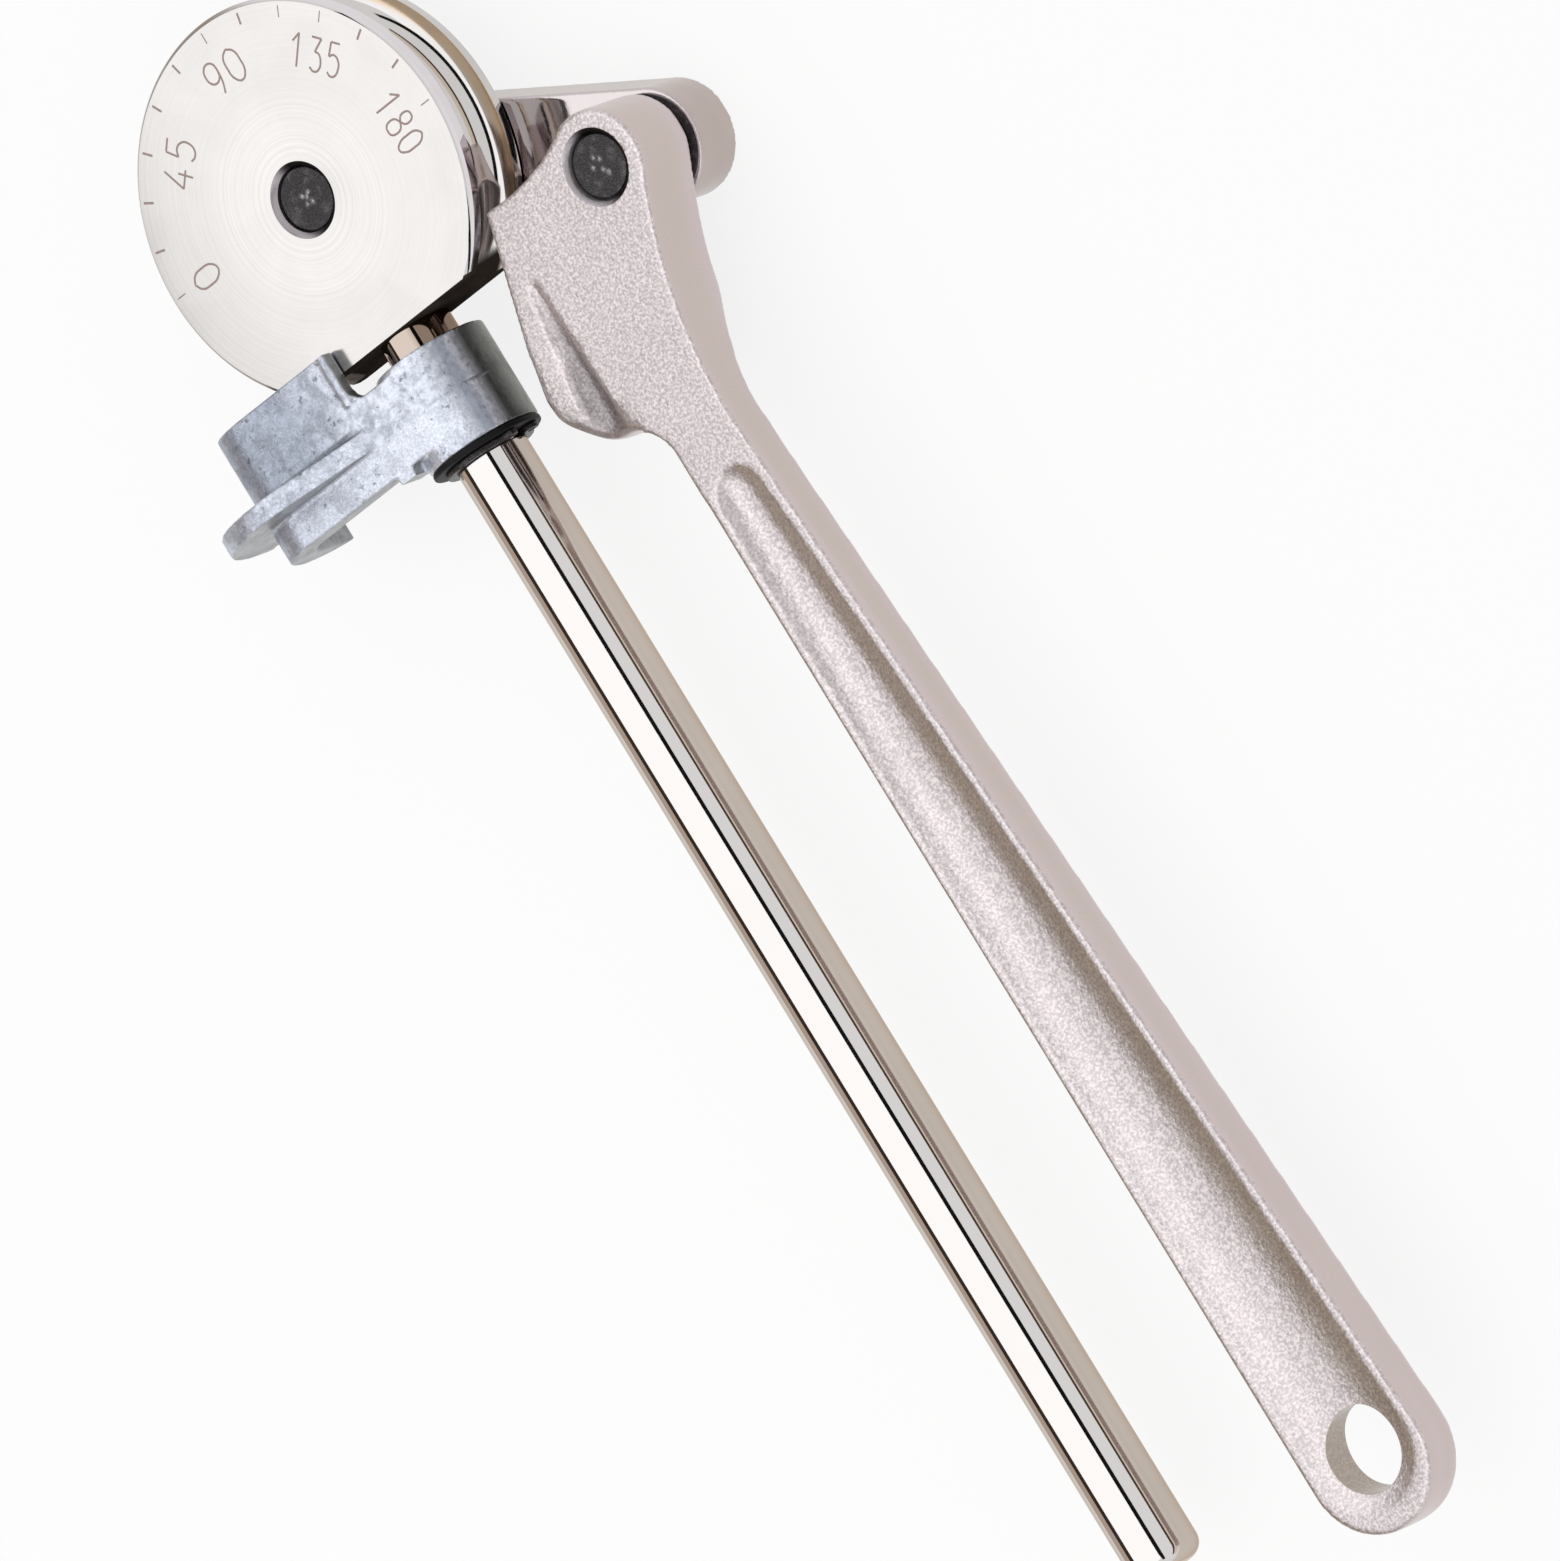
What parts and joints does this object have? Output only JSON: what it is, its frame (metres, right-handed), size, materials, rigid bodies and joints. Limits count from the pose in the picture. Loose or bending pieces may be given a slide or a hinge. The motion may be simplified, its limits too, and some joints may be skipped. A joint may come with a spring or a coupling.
{
  "type": "tube bending pliers",
  "caption": "Lever tube bender: a grooved dial former on a rod handle, a swinging link, a forged bending lever and a swivelling cast tube hook.",
  "frame": {"origin": "former's axis on the back face of the link, the plane on which the tool lies", "axes": "+Z along the former's axis towards the dial, -Y along the rod handle, -X towards the dial's zero mark and the tube hook"},
  "size_m": [0.1334, 0.3654, 0.0419],
  "materials": {
    "turned_nickel": "nickel plated, turned and polished",
    "forged_nickel": "nickel plated over a blasted forging",
    "chromed_rod": "mirror chrome",
    "cast_zinc": "bare die casting, dull and mottled",
    "dark_steel": "burnished, dark",
    "black_rubber": "matt black"
  },
  "bodies": {
    "former_and_rod": {"former": "turned_nickel", "former_pin": "dark_steel", "rod_handle": "chromed_rod", "rod_circlip": "dark_steel", "hook_ring": "black_rubber", "former_washer": "dark_steel"},
    "hook": {"tube_hook": "cast_zinc"},
    "link": {"link_bar": "forged_nickel"},
    "lever": {"lever": "forged_nickel", "lever_pin": "dark_steel", "lever_washer": "dark_steel"}
  },
  "joints": [
    {"name": "link_swing", "type": "hinge", "parent": "former_and_rod", "child": "link", "pos_m": [0, 0, 0], "axis": [0, 0, 1], "range_deg": [-2, 214]},
    {"name": "lever_pivot", "type": "hinge", "parent": "link", "child": "lever", "pos_m": [0.06203, -0.02999, 0], "axis": [0, 0, 1], "range_deg": [-3, 150]},
    {"name": "hook_swing", "type": "hinge", "parent": "former_and_rod", "child": "hook", "pos_m": [0, 0, 0.021], "axis": [0, 1, 0], "range_deg": [0, 102]}
  ]
}
